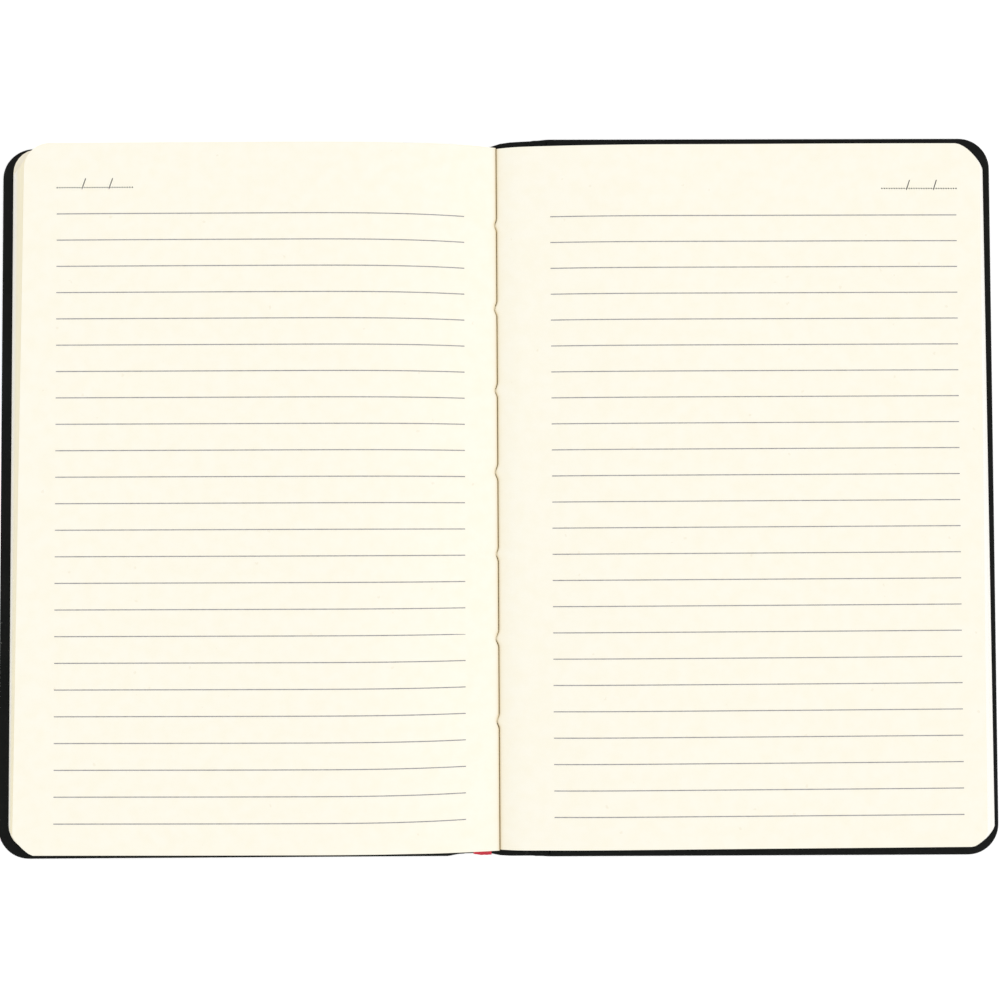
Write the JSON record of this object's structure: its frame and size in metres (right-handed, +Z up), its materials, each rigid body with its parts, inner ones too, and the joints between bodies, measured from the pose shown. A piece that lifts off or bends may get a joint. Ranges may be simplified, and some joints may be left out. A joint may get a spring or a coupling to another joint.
{
  "type": "open ruled notebook",
  "caption": "Casebound ruled notebook lying open, with rounded black covers that hinge at the spine, cream pages and the end of a red ribbon marker at the tail.",
  "frame": {"origin": "under the middle of the spine, on the surface that the open book lies on", "axes": "+X towards the right-hand page's fore-edge, +Y towards the head of the pages, +Z up"},
  "size_m": [0.2912, 0.2104, 0.0116],
  "materials": {
    "black_leatherette": "satin",
    "greyboard": "matte",
    "lining_paper": "matte",
    "page_paper": "matte",
    "page_ink": "matte",
    "binding_gauze": "matte",
    "binding_glue": "satin",
    "red_ribbon": "satin"
  },
  "bodies": {
    "spine": {"spine_strip": "greyboard", "spine_wrap": "black_leatherette", "spine_lining": "lining_paper", "spine_gauze": "binding_gauze", "notch_glue": "binding_glue"},
    "front_cover": {"front_board": "greyboard", "front_wrap": "black_leatherette", "front_endpaper": "page_paper", "front_leaves": "page_paper", "ribbon_marker": "red_ribbon"},
    "back_cover": {"back_board": "greyboard", "back_wrap": "black_leatherette", "back_endpaper": "page_paper", "back_leaves": "page_paper"}
  },
  "joints": [
    {"name": "front_hinge", "type": "hinge", "parent": "spine", "child": "front_cover", "pos_m": [-0.009, 0, 0.00015], "axis": [0, 1, 0], "range_deg": [0, 90], "deforming": ["front_leaves", "ribbon_marker"]},
    {"name": "back_hinge", "type": "hinge", "parent": "spine", "child": "back_cover", "pos_m": [0.009, 0, 0.00015], "axis": [0, -1, 0], "range_deg": [0, 90], "deforming": ["back_leaves"]}
  ]
}
